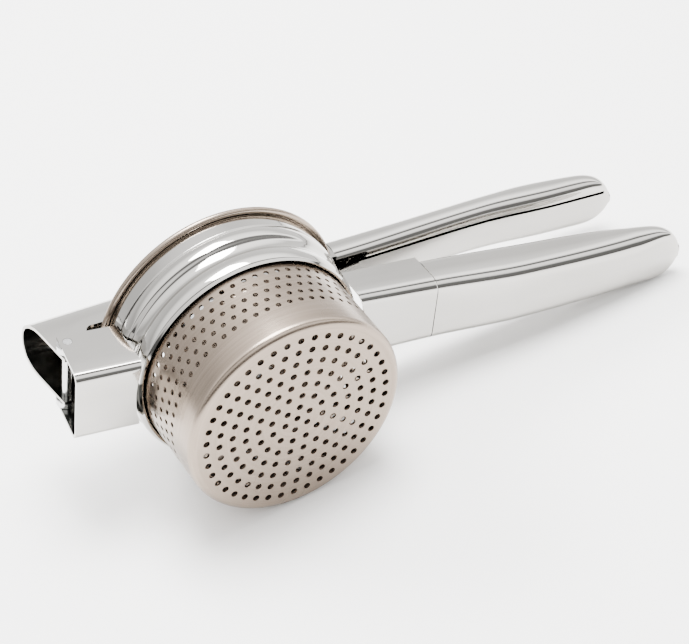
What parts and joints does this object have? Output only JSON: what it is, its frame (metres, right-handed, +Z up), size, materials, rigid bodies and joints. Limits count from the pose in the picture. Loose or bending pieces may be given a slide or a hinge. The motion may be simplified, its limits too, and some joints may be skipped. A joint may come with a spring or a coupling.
{
  "type": "potato ricer",
  "caption": "Hand press with a perforated round basket in a ribbed collar, a hinged lever that drives a plunger into it, and two long handles rolled from sheet with a seam inside.",
  "frame": {"origin": "centre of the bounding box's footprint, on the floor the part lies on", "axes": "+Z up, +X towards the handle tips, +Y from the basket's bottom to its rim; the part lies on its side, leaning 6.4 degrees so that the bottom edge and the rim both touch, and rolled so that the frame handle's tip touches"},
  "size_m": [0.2638, 0.089, 0.1008],
  "materials": {
    "satin_steel": "satin stainless sheet, warm grey",
    "chrome": "mirror polished",
    "pin_steel": "bright turned steel"
  },
  "bodies": {
    "frame": {"collar": "chrome", "hinge_bracket": "chrome", "frame_neck": "chrome", "frame_handle": "chrome", "hinge_pin": "pin_steel", "hinge_spacer_left": "pin_steel", "hinge_spacer_right": "pin_steel"},
    "lever": {"lever_arm": "chrome", "lever_handle": "chrome", "plunger_pin": "pin_steel"},
    "plunger": {"plunger_plate": "satin_steel", "plunger_stem": "pin_steel", "plunger_rivet_hinge_side": "pin_steel", "plunger_rivet_handle_side": "pin_steel"},
    "basket": {"basket": "satin_steel"}
  },
  "joints": [
    {"name": "lever_hinge", "type": "hinge", "parent": "frame", "child": "lever", "pos_m": [-0.12381, 0.01535, 0.06216], "axis": [0.1888, -0.1095, 0.9759], "range_deg": [0, 85]},
    {"name": "plunger_hinge", "type": "hinge", "parent": "lever", "child": "plunger", "pos_m": [-0.06665, 0.03248, 0.05303], "axis": [0.1888, -0.1095, 0.9759], "range_deg": [-17.1, 0]},
    {"name": "basket_turn", "type": "hinge", "parent": "frame", "child": "basket", "pos_m": [-0.0588, -0.01008, 0.04673], "axis": [0, 0.9938, 0.1115], "continuous": true}
  ],
  "couplings": [
    {"joint": "plunger_hinge", "follows": "lever_hinge", "ratio": -0.2}
  ]
}
